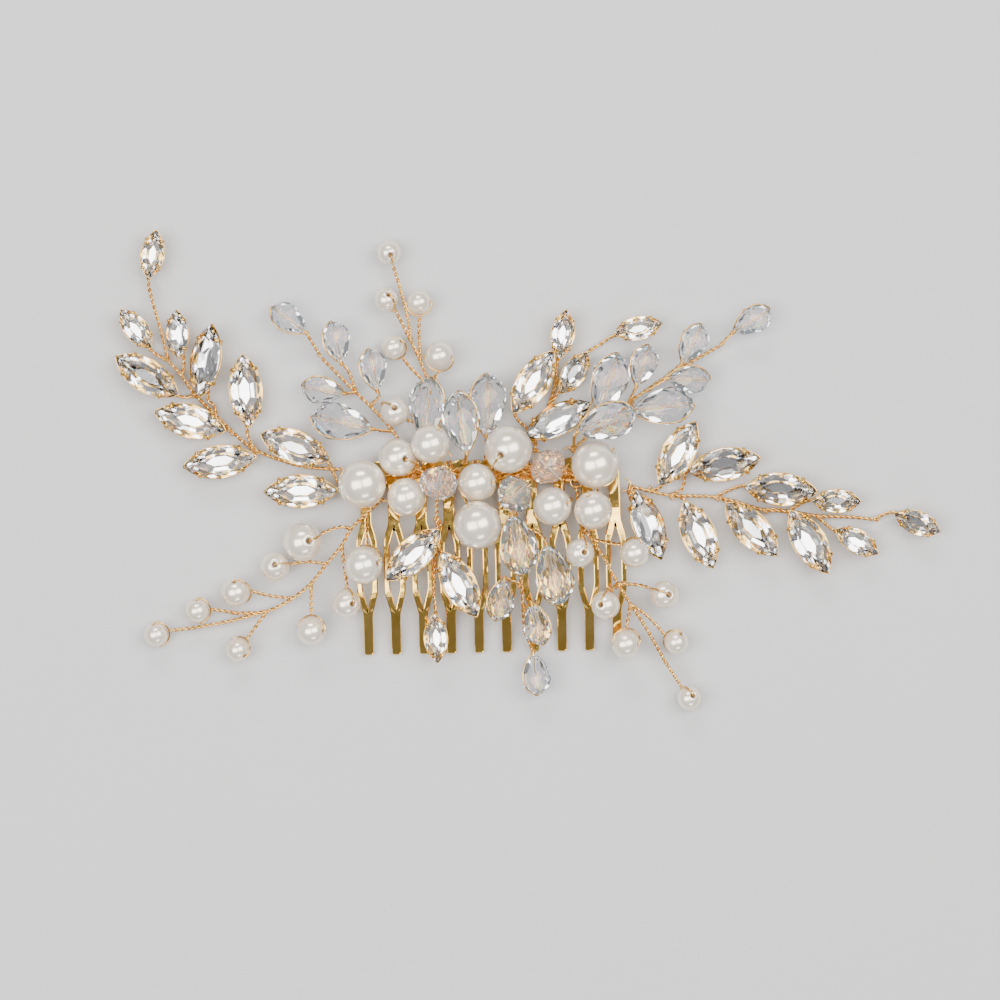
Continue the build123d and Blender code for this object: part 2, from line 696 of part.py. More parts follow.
for name, (stem, items) in sprigs.items():
    export(make_stem(stem, items), f"{name}_stem_wire")
    stones = [item for item in items if isinstance(item, Stone)]
    for size in stone_sizes:
        places = [stone_plane(stone).location for stone in stones if stone.size == size]
        if places:
            export(copies(cut_stones[size], places), f"{name}_{size}_stones")
    if stones:
        export(copies_by_size(settings, stones), f"{name}_settings")
    for size in drop_sizes:
        drops = [item for item in items if isinstance(item, Drop) and item.size == size]
        if drops:
            export(copies(cut_drops[size], [drop_place(drop) for drop in drops]), f"{name}_{size}_drops")
    pearls = [item for item in items if isinstance(item, Pearl)]
    for diameter in sorted({pearl.diameter for pearl in pearls}):
        places = [pearl_place(pearl) for pearl in pearls if pearl.diameter == diameter]
        export(copies(make_pearl(diameter), places), f"{name}_{pearl_names[diameter]}_pearls")

for name, (diameter, x, y, z, heading, rise) in centre_pearls.items():
    export(copies(make_pearl(diameter), [bead_place((x, y, z), heading, rise)]), name)
for name, (x, y, z, heading, rise) in centre_crystals.items():
    export(copies(cut_crystal, [bead_place((x, y, z), heading, rise)]), name)
export(copies(cut_drops["large"], [drop_place(drop) for drop in crown_drops]), "crown_drops")

with BuildPart() as crown_wires:
    for drop, foot in zip(crown_drops, crown_wire_feet):
        for piece in drop_wires(drop, [foot]):
            add(piece)
export(crown_wires, "crown_drop_wires")

with BuildPart() as bead_wires:
    for name, (diameter, x, y, z, heading, rise) in centre_pearls.items():
        foot_x = wire_foot_x.get(name, x)
        for piece in centre_wires((x, y, z), diameter / 2, plan_direction(heading, rise), foot_x):
            add(piece)
    for x, y, z, heading, rise in centre_crystals.values():
        for piece in centre_wires((x, y, z), crystal_diameter / 2 + 0.2, plan_direction(heading, rise), x):
            add(piece)
export(bead_wires, "centre_bead_wires")
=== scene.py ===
import json
import math

import bmesh
import bpy
import numpy as np
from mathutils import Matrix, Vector

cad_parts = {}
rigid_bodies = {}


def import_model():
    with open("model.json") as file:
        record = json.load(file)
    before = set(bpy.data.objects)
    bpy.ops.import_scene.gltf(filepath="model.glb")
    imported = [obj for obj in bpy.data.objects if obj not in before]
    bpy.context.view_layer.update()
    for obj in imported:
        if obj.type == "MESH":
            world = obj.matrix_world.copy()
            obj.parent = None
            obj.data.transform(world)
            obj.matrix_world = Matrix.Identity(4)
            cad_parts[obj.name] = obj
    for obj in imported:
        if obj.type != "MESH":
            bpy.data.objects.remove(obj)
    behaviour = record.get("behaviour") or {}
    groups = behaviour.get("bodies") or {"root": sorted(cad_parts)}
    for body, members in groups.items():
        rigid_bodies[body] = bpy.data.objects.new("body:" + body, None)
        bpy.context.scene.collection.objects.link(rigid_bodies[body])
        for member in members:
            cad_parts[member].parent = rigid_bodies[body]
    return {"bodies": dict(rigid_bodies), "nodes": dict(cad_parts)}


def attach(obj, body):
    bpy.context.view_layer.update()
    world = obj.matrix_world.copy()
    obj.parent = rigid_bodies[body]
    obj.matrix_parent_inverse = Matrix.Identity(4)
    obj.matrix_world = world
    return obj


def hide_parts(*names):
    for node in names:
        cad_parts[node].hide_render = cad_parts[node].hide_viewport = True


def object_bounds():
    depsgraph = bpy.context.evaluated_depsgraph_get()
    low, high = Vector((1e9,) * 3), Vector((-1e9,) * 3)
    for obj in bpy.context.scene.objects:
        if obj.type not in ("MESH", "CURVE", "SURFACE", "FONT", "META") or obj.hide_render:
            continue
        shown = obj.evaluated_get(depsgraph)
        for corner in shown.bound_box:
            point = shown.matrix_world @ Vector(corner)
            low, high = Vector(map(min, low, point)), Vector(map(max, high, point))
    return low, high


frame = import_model()
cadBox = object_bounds()
rng = np.random.default_rng(7)
mm = 0.001

# where everything sits: millimetres and degrees, the same layout as the comb's own parts
# stone and drop: size, x, y, z, heading, roll or rise, stem point joined, points on the way
# pearl: diameter, x, y, z, hole heading, hole rise, stem point joined, points on the way
stoneSizes = {"large": (15.0, 7.0), "small": (10.0, 5.0)}
dropSizes = {"large": (12.0, 7.7), "small": (8.0, 5.8)}
crystalDiameter = 7.8

leftLeaf = {
    "stem": [(-28.4, 0.7, 1.6), (-33, 0.9, 1.4), (-38.5, 1.4, 1.1), (-43.5, 2.9, 0.9),
        (-49, 5.1, 0.8), (-53, 8.4, 0.8), (-57, 12.8, 0.8), (-61.2, 16.8, 0.8),
        (-63.8, 21, 0.9), (-66.6, 24.2, 1.1)],
    "stones": [
        ("small", -69.3, 46.4, 3.4, 80, 8, 9, [(-68, 30.6, 1.2), (-69.6, 36.5, 1.4)]),
        ("small", -73.1, 31.0, 3.0, 127, 10, 9, []),
        ("small", -64.5, 29.6, 3.4, 92, -18, 8, [(-63.4, 22.8, 1.1)]),
        ("large", -71.0, 21.2, 3.6, 147, 6, 7, []),
        ("large", -58.7, 24.0, 3.9, 79, -24, 6, [(-57.2, 15, 1.0)]),
        ("large", -62.2, 11.5, 3.6, 164, -5, 5, []),
        ("large", -56.2, 2.9, 3.6, 187, -8, 4, []),
        ("large", -50.4, 17.6, 3.7, 94, 12, 4, [(-50.2, 7.5, 0.9)]),
        ("large", -40.4, 5.7, 4.0, 158, 8, 1, []),
        ("large", -39.4, -3.6, 3.8, 180, -6, 1, [(-31.8, -1.8, 1.3)]),
    ],
}
rightLeaf = {
    "stem": [(29.3, -4.0, 1.6), (33, -5, 1.3), (37.6, -6.2, 1.1), (42.5, -6.3, 0.9),
        (47, -6.5, 0.8), (52.5, -8, 0.8), (57, -9.7, 0.8), (62.2, -9.8, 0.8), (68, -11.1, 0.9),
        (75, -11.3, 1.0), (80, -12, 1.1)],
    "stones": [
        ("large", 39.3, 2.6, 3.4, 60, -8, 1, []),
        ("large", 49.0, 0.1, 3.7, 9, 10, 2, [(40.6, -4.9, 1.2)]),
        ("large", 60.6, -5.3, 3.6, -5, 8, 4, []),
        ("small", 72.2, -8.0, 3.2, -2, 6, 7, []),
        ("small", 76.4, -16.5, 3.0, -31, -8, 8, []),
        ("small", 89.0, -12.9, 3.2, -23, 10, 10, []),
        ("large", 32.9, -12.1, 3.9, -70, -24, 0, [(29.6, -5.8, 1.3)]),
        ("large", 43.3, -14.4, 3.7, -68, 8, 2, []),
        ("large", 54.4, -13.5, 3.6, -47, 6, 4, []),
        ("large", 66.4, -16.4, 3.6, -60, -6, 6, []),
    ],
}
upperLeaf = {
    "stem": [(9.6, 3.9, 0.8), (9.8, 7, 0.5), (12.2, 12, 0.2), (14.2, 17.6, 0.3)],
    "stones": [
        ("large", 9.5, 18.1, 4.2, 56, 6, 1, []),
        ("large", 14.4, 10.2, 4.7, 26, -24, 1, []),
        ("small", 18.1, 19.9, 3.3, 56, 12, 2, []),
        ("small", 15.9, 28.0, 3.4, 81, 8, 3, []),
        ("small", 31.6, 28.9, 3.2, 11, -6, 3, [(18.6, 23, 0.3), (24, 25.9, 0.8)]),
    ],
}
lowerLeaf = {
    "stem": [(-11.1, -5.4, 3.1), (-11.2, -9.5, 4.3), (-10.9, -14, 4.8), (-11.7, -19, 4.8),
        (-12.2, -25, 4.3)],
    "stones": [
        ("large", -16.2, -17.3, 8.0, -138, 8, 1, []),
        ("large", -6.7, -23.6, 8.0, -63, -8, 2, []),
        ("small", -11.9, -34.8, 5.0, -87, 6, 4, []),
    ],
}
upperLeftDrop = {
    "stem": [(-17.8, 4.4, 1.0), (-19.9, 8.8, 1.1), (-24.6, 13.9, 1.2), (-27.6, 16.8, 1.3),
        (-30.4, 19.8, 1.4), (-34.6, 24.2, 1.7)],
    "drops": [
        ("small", -41.3, 32.4, 2.9, 141, 0, 5, []),
        ("small", -31.3, 27.5, 3.2, 101, 0, 3, [(-28.9, 21.4, 2.0)]),
        ("small", -23.8, 21.6, 3.2, 99, 0, 2, [(-22.4, 16.0, 2.0)]),
        ("small", -34.6, 17.4, 3.4, 170, 0, 3, []),
        ("large", -30.8, 10.6, 4.2, 167, 0, 1, [(-22.4, 8.6, 2.4)]),
    ],
}
upperRightDrop = {
    "stem": [(17.4, 3.9, 1.0), (20.2, 6.2, 1.0), (25.5, 10.5, 0.9), (29.4, 13.6, 1.1),
        (33, 15.9, 1.3), (37.4, 18.8, 1.5), (43.5, 22.2, 1.8), (48.5, 24.9, 2.1)],
    "drops": [
        ("small", 55.5, 30.1, 3.0, 31, 0, 7, []),
        ("small", 42.9, 25.6, 3.6, 61, 0, 5, []),
        ("small", 42.1, 18.1, 3.2, -3, 0, 4, []),
        ("small", 32.5, 21.3, 3.5, 71, 0, 3, []),
        ("large", 25.3, 17.8, 4.0, 69, 0, 2, []),
        ("large", 36.6, 12.4, 5.4, 6, 0, 3, []),
        ("large", 24.6, 9.5, 9.6, 19, 0, 0, [(17.6, 6.4, 5.4)]),
    ],
}
lowerDrop = {
    "stem": [(5.4, -7.6, 3.0), (5.2, -11, 4.2), (5.6, -17, 4.4), (6.2, -24, 4.2),
        (6.4, -29, 3.6), (6.6, -33.5, 2.6)],
    "drops": [
        ("large", 5.6, -15.8, 11.0, -80, 0, 1, [(4.6, -10.6, 7.5)]),
        ("large", 12.9, -22.2, 7.9, -78, 0, 1, [(10.6, -13.4, 6.2)]),
        ("small", 1.7, -27.2, 7.0, -102, 0, 3, []),
        ("small", 9.2, -32.4, 6.6, -77, 0, 4, []),
        ("small", 8.8, -42.9, 2.8, -84, 0, 5, []),
    ],
}
topPearl = {
    "stem": [(-9.4, 4.0, 0.6), (-10.4, 9, 0.1), (-12, 17.8, 0.5), (-13.9, 23, 1.1),
        (-15.8, 27.2, 1.3)],
    "drops": [
        ("large", -12.7, 13.4, 5.1, 84, 12, 0, []),
    ],
    "pearls": [
        (5, -20.0, 45.8, 2.6, -60, 70, 4, [(-16.4, 32.5, 1.6), (-18.3, 40, 1.9)]),
        (5, -20.8, 36.0, 2.6, 60, 60, 4, []),
        (5, -14.0, 35.3, 2.6, 0, 10, 3, [(-14.2, 29, 1.6)]),
        (5, -19.5, 26.1, 2.6, 35, 30, 2, [(-16.4, 22, 1.6)]),
        (6, -10.0, 24.0, 3.0, -10, 20, 2, []),
        (6, -19.4, 12.6, 4.6, 90, 75, 1, [(-20.0, 11.6, 0.2), (-22.0, 13.6, 1.4)]),
    ],
}
lowerLeftPearl = {
    "stem": [(-22.8, -5.6, 2.9), (-26, -8.9, 3.7), (-29.2, -11.4, 3.9), (-31, -15.2, 3.8),
        (-34.4, -18.8, 3.4), (-37.6, -23, 2.9), (-41.6, -26, 2.4), (-47, -28.8, 2.0),
        (-53, -28.8, 1.8)],
    "pearls": [
        (8, -39.2, -14.2, 5.2, 10, 65, 2, [(-31.4, -11, 4.0)]),
        (6, -45.1, -19.2, 4.0, 80, 80, 4, [(-38.4, -18.2, 3.6)]),
        (6, -53.5, -24.4, 3.2, 95, 35, 6, [(-46, -25.4, 2.6)]),
        (5, -61.6, -28.1, 2.4, 95, 15, 8, []),
        (5, -70.3, -32.9, 2.2, 105, 20, 7, [(-54, -30.3, 1.7), (-62, -31.6, 1.6)]),
        (5, -53.3, -36.4, 2.4, -40, 30, 7, []),
        (6, -37.8, -32.8, 3.2, 0, 25, 5, []),
        (6, -30.3, -27.2, 6.4, 0, 60, 3, [(-30.6, -19.5, 4.9)]),
        (8, -26.5, -19.2, 8.4, 5, 35, 1, [(-25.9, -12.4, 5.6)]),
    ],
}
lowerRightPearl = {
    "stem": [(18.1, -3.9, 2.9), (18.4, -11, 4.3), (20.8, -14.8, 4.7), (23.6, -18.8, 4.7),
        (26.2, -24.4, 4.4), (28.8, -28.6, 3.9), (32, -33.6, 3.0), (35.6, -40.4, 2.0)],
    "pearls": [
        (6, 18.4, -17.6, 8.2, 10, 70, 1, []),
        (6, 23.5, -28.6, 6.9, 170, 65, 4, []),
        (6, 29.7, -17.9, 9.3, 60, 20, 2, [(25.6, -16, 6.4)]),
        (6, 27.6, -36.8, 5.0, 0, 25, 5, []),
        (6, 35.8, -26.7, 4.6, 0, 70, 4, [(30.6, -24.5, 4.2)]),
        (5, 38.2, -36.7, 3.2, 60, 30, 5, [(32.6, -31.2, 3.5)]),
        (5, 40.7, -48.5, 2.4, 45, 65, 7, []),
    ],
}
sprigs = {
    "left_leaf": leftLeaf,
    "right_leaf": rightLeaf,
    "upper_leaf": upperLeaf,
    "lower_leaf": lowerLeaf,
    "upper_left_drop": upperLeftDrop,
    "upper_right_drop": upperRightDrop,
    "lower_drop": lowerDrop,
    "top_pearl": topPearl,
    "lower_left_pearl": lowerLeftPearl,
    "lower_right_pearl": lowerRightPearl,
}

# beads close on the spine: diameter, x, y, z, hole heading, hole rise
centrePearls = {
    "left_hero_pearl": (10, -26.5, -2.4, 7.8, 150, 20),
    "upper_left_pearl": (8, -19.0, 3.0, 6.3, -15, 62),
    "upper_middle_pearl": (8, -12.1, 5.6, 9.4, 60, 25),
    "lower_outer_pearl": (8, -17.4, -5.3, 7.0, 120, 20),
    "middle_pearl": (8, -2.7, -2.6, 6.6, 0, 30),
    "lower_hero_pearl": (10, -2.7, -11.4, 9.8, 115, 20),
    "upper_hero_pearl": (10, 4.0, 4.2, 7.8, 218, 62),
    "lower_inner_pearl": (8, 12.9, -7.8, 7.8, 10, 30),
    "right_hero_pearl": (10, 22.0, 0.6, 7.0, 40, 20),
    "right_lower_pearl": (8, 21.3, -8.8, 8.6, 110, 30),
}
# where a pearl's wire meets the spine, if not straight under it
wireFootX = {
    "upper_left_pearl": -17.4, "lower_hero_pearl": -7.2, "lower_inner_pearl": 15.6,
    "right_lower_pearl": 23.6,
}
# x, y, z, hole heading, hole rise
centreCrystals = {
    "left_crystal": (-10.6, -2.5, 9.6, 75, 35),
    "middle_crystal": (5.1, -5.2, 7.6, 30, 18),
    "right_crystal": (12.1, 0.4, 6.3, -45, 20),
}
crownDrops = [
    ("large", -5.6, 10.2, 9.1, 98, 8, 0, []),
    ("large", -0.2, 13.8, 4.2, 87, 0, 0, []),
]
crownWireFeet = [(-5.2, 1.6, 1.5), (-0.8, 1.8, 1.4)]

# materials


def newMaterial(name, sockets):
    # a principled shader with nothing linked yet, and the given values on its sockets
    material = bpy.data.materials.new(name)
    material.use_nodes = True
    nodes, links = material.node_tree.nodes, material.node_tree.links
    nodes.clear()
    out = nodes.new("ShaderNodeOutputMaterial")
    shader = nodes.new("ShaderNodeBsdfPrincipled")
    links.new(shader.outputs[0], out.inputs[0])
    for socket, value in sockets.items():
        shader.inputs[socket].default_value = value
    return material, nodes, links, shader


def addNoise(nodes, links, scale, detail):
    # noise on object coordinates, scale in cells per metre
    coords = nodes.new("ShaderNodeTexCoord")
    noise = nodes.new("ShaderNodeTexNoise")
    noise.inputs["Scale"].default_value = scale
    noise.inputs["Detail"].default_value = detail
    links.new(coords.outputs["Object"], noise.inputs["Vector"])
    return noise


def paint(nodes, links, socket, cloud, colours):
    # noise through a ramp of two colours into a socket: cloud is scale, detail and the ramp's stops
    scale, detail, stops = cloud
    noise = addNoise(nodes, links, scale, detail)
    ramp = nodes.new("ShaderNodeValToRGB")
    for element, position, colour in zip(ramp.color_ramp.elements, stops, colours):
        element.position = position
        element.color = (*colour, 1)
    links.new(noise.outputs["Fac"], ramp.inputs["Fac"])
    links.new(ramp.outputs[0], socket)
    return noise


def addBump(nodes, links, shader, noise, strength, depth):
    bump = nodes.new("ShaderNodeBump")
    bump.inputs["Strength"].default_value = strength
    bump.inputs["Distance"].default_value = depth
    links.new(noise.outputs["Fac"], bump.inputs["Height"])
    links.new(bump.outputs[0], shader.inputs["Normal"])


golds = {
    # dark and light tone, roughness low and high, noise scale per metre, bump strength
    "combGold": ((0.78, 0.47, 0.09), (0.94, 0.63, 0.17), 0.05, 0.12, 260, 0.06),
    "bindingGold": ((0.80, 0.38, 0.08), (1.00, 0.62, 0.20), 0.14, 0.30, 900, 0.25),
    "wireGold": ((0.70, 0.38, 0.09), (0.96, 0.64, 0.22), 0.10, 0.26, 900, 0.20),
    "settingGold": ((0.66, 0.38, 0.08), (0.94, 0.60, 0.17), 0.08, 0.20, 700, 0.20),
}
goldGrain = {
    "detail": 3, "stops": (0.3, 0.7), "fineScale": 3, "fineDetail": 2, "fineStops": (0.3, 0.75),
    "bumpDepth": 0.00004,
}


def makeGold(name):
    dark, light, smooth, rough, scale, bumpStrength = golds[name]
    material, nodes, links, shader = newMaterial(name, {"Metallic": 1})
    broad = (scale, goldGrain["detail"], goldGrain["stops"])
    paint(nodes, links, shader.inputs["Base Color"], broad, (dark, light))
    fine = (scale * goldGrain["fineScale"], goldGrain["fineDetail"], goldGrain["fineStops"])
    greys = ((smooth,) * 3, (rough,) * 3)
    noise = paint(nodes, links, shader.inputs["Roughness"], fine, greys)
    addBump(nodes, links, shader, noise, bumpStrength, goldGrain["bumpDepth"])
    return material


pearlLook = {
    "cream": (0.93, 0.82, 0.66), "white": (0.99, 0.93, 0.82), "cloud": (240, 3, (0.3, 0.7)),
    "sockets": {
        "Roughness": 0.24, "Metallic": 0.48, "Specular IOR Level": 0.7,
        "Coat Weight": 0.9, "Coat Roughness": 0.11, "Coat Tint": (1.0, 0.98, 0.96, 1),
    },
    "grain": (1400, 2), "bump": (0.12, 0.00003),
}


def makePearlCoat():
    material, nodes, links, shader = newMaterial("pearlCoat", pearlLook["sockets"])
    colours = (pearlLook["cream"], pearlLook["white"])
    paint(nodes, links, shader.inputs["Base Color"], pearlLook["cloud"], colours)
    grain = addNoise(nodes, links, *pearlLook["grain"])
    addBump(nodes, links, shader, grain, *pearlLook["bump"])
    return material


glasses = {
    # tint, refractive index, thin film thickness in nanometres, share of light let through
    "dropGlass": ((0.955, 0.965, 0.99), 1.52, 440, 0.97),
    "blushGlass": ((0.99, 0.91, 0.875), 1.50, 0, 0.9),
    "clearGlass": ((0.98, 0.98, 0.98), 1.50, 440, 0.94),
    "stoneGlass": ((1.0, 1.0, 1.0), 1.40, 0, 1.0),
}
glassLook = {"cloud": (160, 2, (0.35, 0.65)), "paling": 0.5, "filmIndex": 1.36}


def makeGlass(name):
    tint, index, film, clearness = glasses[name]
    sockets = {"Transmission Weight": clearness, "Roughness": 0.0, "IOR": index}
    if film:
        sockets.update({"Thin Film Thickness": film, "Thin Film IOR": glassLook["filmIndex"]})
    material, nodes, links, shader = newMaterial(name, sockets)
    paling = glassLook["paling"]
    paler = tuple(paling + (1 - paling) * channel for channel in tint)
    paint(nodes, links, shader.inputs["Base Color"], glassLook["cloud"], (tint, paler))
    return material


foilLook = {
    "dark": (0.93, 0.93, 0.95), "light": (1.0, 1.0, 0.99), "cloud": (320, 2, (0.35, 0.6)),
    "sockets": {"Metallic": 1, "Roughness": 0.10},
    "facing": -0.2,  # facets whose normal is lower than this against the stone's face are foiled
}


def makeFoil():
    material, nodes, links, shader = newMaterial("stoneFoil", foilLook["sockets"])
    colours = (foilLook["dark"], foilLook["light"])
    paint(nodes, links, shader.inputs["Base Color"], foilLook["cloud"], colours)
    return material


looks = {name: makeGold(name) for name in golds}
looks.update({name: makeGlass(name) for name in glasses})
looks["pearlCoat"] = makePearlCoat()
looks["stoneFoil"] = makeFoil()
print("materials:", len(looks))

# mesh helpers


def unit(vectors):
    return vectors / np.maximum(np.linalg.norm(vectors, axis=-1, keepdims=True), 1e-12)


def direction(heading, rise=0.0):
    # unit vector in plan direction heading, tipped up by rise, both in degrees
    turn, lift = math.radians(heading), math.radians(rise)
    flat = math.cos(lift)
    return np.array([math.cos(turn) * flat, math.sin(turn) * flat, math.sin(lift)])


def axesAcross(axis, steepest=0.9):
    # two unit vectors across an axis, found from z, or from x where the axis is too steep
    guide = [0, 0, 1.0] if abs(axis[2]) < steepest else [1.0, 0, 0]
    across = unit(np.cross(axis, guide))
    return across, np.cross(axis, across)


def smoothPath(points, step):
    # corners cut three times by a quarter of each run, then points at even steps along it
    line = np.array(points, float)
    for _ in range(3):
        early = 0.75 * line[:-1] + 0.25 * line[1:]
        late = 0.25 * line[:-1] + 0.75 * line[1:]
        cut = np.stack([early, late], axis=1).reshape(-1, 3)
        line = np.vstack([line[:1], cut[1:-1], line[-1:]])
    run = np.concatenate([[0], np.cumsum(np.linalg.norm(np.diff(line, axis=0), axis=1))])
    even = np.linspace(0, run[-1], max(3, int(run[-1] / step) + 1))
    return np.stack([np.interp(even, run, line[:, axis]) for axis in range(3)], axis=1)


def smoothClosed(points):
    # a closed line rounded twice by moving every point towards its neighbours' middle
    for _ in range(2):
        points = 0.5 * points + 0.25 * (np.roll(points, 1, axis=0) + np.roll(points, -1, axis=0))
    return points


def pathFrame(path, closed=False):
    # tangent, and two unit vectors across it, from the world axis the path follows least
    if closed:
        tangent = unit(np.roll(path, -1, axis=0) - np.roll(path, 1, axis=0))
    else:
        tangent = unit(np.gradient(path, axis=0))
    least = np.argmin(np.abs(tangent).max(axis=0))
    across = unit(np.cross(np.eye(3)[least], tangent))
    return tangent, across, np.cross(tangent, across)


def ringRound(across, up, sides):
    # directions cosine times across plus sine times up, at even angles round a circle
    turn = np.linspace(0, 2 * np.pi, sides, endpoint=False)[:, None]
    return np.cos(turn) * across + np.sin(turn) * up


def tubeAlong(path, radius, sides=8, closed=False):
    # rings of the radius across the path, open paths closed by a flat cap at each end
    path = np.asarray(path, float)
    _, across, up = pathFrame(path, closed)
    radii = np.broadcast_to(radius, (len(path),))[:, None, None]
    ring = ringRound(across[:, None], up[:, None], sides)
    verts = (path[:, None] + radii * ring).reshape(-1, 3)
    return verts, gridFaces(len(path), sides, closed)


def gridFaces(rows, columns, closedRows):
    # quads of a grid whose columns wrap round, and whose rows may too, else two end caps
    row = np.arange(rows if closedRows else rows - 1)[:, None]
    column = np.arange(columns)[None]
    nextRow, nextColumn = (row + 1) % rows, (column + 1) % columns
    corners = [
        row * columns + column, row * columns + nextColumn,
        nextRow * columns + nextColumn, nextRow * columns + column,
    ]
    quads = np.stack([np.broadcast_to(c, (len(row), columns)).ravel() for c in corners], axis=1)
    faces = quads.tolist()
    if not closedRows:
        faces.append(list(range(columns))[::-1])
        faces.append(list(range((rows - 1) * columns, rows * columns)))
    return faces


def addObject(name, mesh):
    thing = bpy.data.objects.new(name, mesh)
    bpy.context.scene.collection.objects.link(thing)
    return thing


def pieceFrom(name, grids, look, body, stands=()):
    # one mesh object from (verts in millimetres, faces) grids, faces turned outwards
    allVerts, allFaces, offset = [], [], 0
    for verts, faces in grids:
        allVerts.append(verts)
        allFaces.extend([[index + offset for index in face] for face in faces])
        offset += len(verts)
    mesh = bpy.data.meshes.new(name)
    mesh.from_pydata((np.vstack(allVerts) * mm).tolist(), [], allFaces)
    mesh.update()
    work = bmesh.new()
    work.from_mesh(mesh)
    bmesh.ops.recalc_face_normals(work, faces=work.faces[:])
    work.to_mesh(mesh)
    work.free()
    mesh.polygons.foreach_set("use_smooth", [True] * len(mesh.polygons))
    mesh.materials.append(looks[look])
    piece = addObject(name, mesh)
    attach(piece, body)
    if stands:
        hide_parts(*stands)
    return piece


# twisted and single wires

wire = {
    # radius of one strand, and its distance from the pair's middle as a share of that radius
    "stemStrand": 0.205, "branchStrand": 0.195, "spread": 1.12,
    # length of one twist, distance between rings, thickness share of the cut end
    "twist": 2.5, "step": 0.2, "taper": 0.6,
    "firstTurn": (0, 6), "sides": 7, "stemStart": 0.35, "wrapAt": 0.7,
}
coils = {
    # radius, length, turns, wire radius
    "eye": (0.38, 1.3, 5, 0.13),
    "branchWrap": (0.36, 0.9, 2.5, 0.12),
    "dropKnot": (0.34, 0.8, 3, 0.15),
}
coilGrid = {"pointsPerTurn": 14, "sides": 6}


def twistedPair(points, strand):
    # two strands half a turn apart, each circling the path once per twist length
    path = smoothPath(points, wire["step"])
    _, across, up = pathFrame(path)
    angle = np.arange(len(path)) * wire["step"] * 2 * np.pi / wire["twist"]
    angle = angle + rng.uniform(*wire["firstTurn"])
    swing = np.cos(angle)[:, None] * across + np.sin(angle)[:, None] * up
    ends = np.ones(len(path))
    ends[-3:] = np.linspace(1, wire["taper"], 3)
    swing = swing * strand * wire["spread"]
    return [tubeAlong(path + side * swing, strand * ends, wire["sides"]) for side in (-1, 1)]


def coil(kind, centre, axis):
    # a helix round axis: radius times (cosine, sine) while it climbs evenly along axis
    radius, length, turns, thickness = coils[kind]
    axis = unit(np.array(axis, float))
    across, up = axesAcross(axis)
    share = np.linspace(0, 1, int(turns * coilGrid["pointsPerTurn"]) + 1)[:, None]
    angle = share * turns * 2 * np.pi
    line = centre + axis * (share - 0.5) * length
    line = line + radius * (np.cos(angle) * across + np.sin(angle) * up)
    return tubeAlong(line, thickness, coilGrid["sides"])


beadWire = {
    "radius": 0.19, "clear": 0.32, "joinAt": 1.03,
    "arcPoints": 25, "holePoints": 9, "holeReach": 0.86,
}


def beadLoop(centre, axis, back, reach, radius):
    # a closed wire: straight through the hole, then half round the bead behind it
    turn = np.linspace(-0.5 * np.pi, 0.5 * np.pi, beadWire["arcPoints"])[:, None]
    arc = centre + reach * (np.sin(turn) * axis + np.cos(turn) * back)
    hole = beadWire["holeReach"]
    through = centre + axis * np.linspace(hole, -hole, beadWire["holePoints"])[:, None] * reach
    line = smoothClosed(np.vstack([arc, through]))
    return tubeAlong(line, radius, wire["sides"], closed=True)


def pearlWires(pearl, route):
    diameter, x, y, z, heading, rise, _, _ = pearl
    centre, axis = np.array([x, y, z]), direction(heading, rise)
    reach = diameter / 2 + beadWire["clear"]
    towards = centre - route[-1]
    back = unit(towards - axis * towards.dot(axis)) * -1
    pair = twistedPair([*route, centre + back * reach * beadWire["joinAt"]], wire["branchStrand"])
    return [*pair, beadLoop(centre, axis, back, reach, beadWire["radius"])]


dropWire = {
    # from the tip back to the root: shares of the drop's length, and of its half width there
    "stations": (0.50, 0.40, 0.27, 0.10, -0.12, -0.30, -0.44, -0.56),
    "shares": (0.30, 0.66, 0.92, 1.02, 0.97, 0.74, 0.44, 0.10),
    "clear": 0.24, "radius": 0.1615, "step": 0.3, "lift": 0.55,
    "coreRadius": 0.18, "coreStep": 0.5, "rootGap": 0.7, "tipGap": 0.15, "curl": (0.28, 0.2),
    "knotAt": 0.1, "coreStart": 0.2,
}


def dropWires(drop, route):
    # a pair up to the drop, a wire through it, and its way back over the drop's shoulder
    size, x, y, z, heading, rise, _, _ = drop
    length, width = dropSizes[size]
    centre, axis = np.array([x, y, z]), direction(heading, rise)
    near = centre - axis * (length / 2 + dropWire["rootGap"])
    far = centre + axis * (length / 2 + dropWire["tipGap"])
    side = unit(np.cross(axis, [0, 0, 1.0]))
    hand = 1 if heading % 2 == 0 else -1  # even headings on one side, odd ones on the other
    side = unit(side * hand + np.array([0, 0, dropWire["lift"]]))
    station = np.array(dropWire["stations"])[:, None] * length
    share = np.array(dropWire["shares"])[:, None] * width / 2
    over = centre + axis * station + side * (share + dropWire["clear"])
    curl = far + axis * dropWire["curl"][0] + side * dropWire["curl"][1]
    back = smoothPath([far, curl, *over, near], dropWire["step"])
    pair = twistedPair([*route, near], wire["branchStrand"])
    core = smoothPath([near - axis * dropWire["coreStart"], centre, far], dropWire["coreStep"])
    return [
        *pair,
        tubeAlong(core, dropWire["coreRadius"], wire["sides"]),
        tubeAlong(back, dropWire["radius"], wire["sides"]),
        coil("dropKnot", near - axis * dropWire["knotAt"], axis),
    ]


def stonePlane(stone):
    # a stone's middle, the direction of its length, and the direction that its face looks in
    _, x, y, z, heading, roll, _, _ = stone
    tip = math.radians(roll)
    face = np.array([0, 0, math.cos(tip)]) - direction(heading + 90) * math.sin(tip)
    return np.array([x, y, z]), direction(heading), face


stoneWire = {"depth": 0.36, "below": 1.05, "tipGap": 0.8, "belly": 0.22}


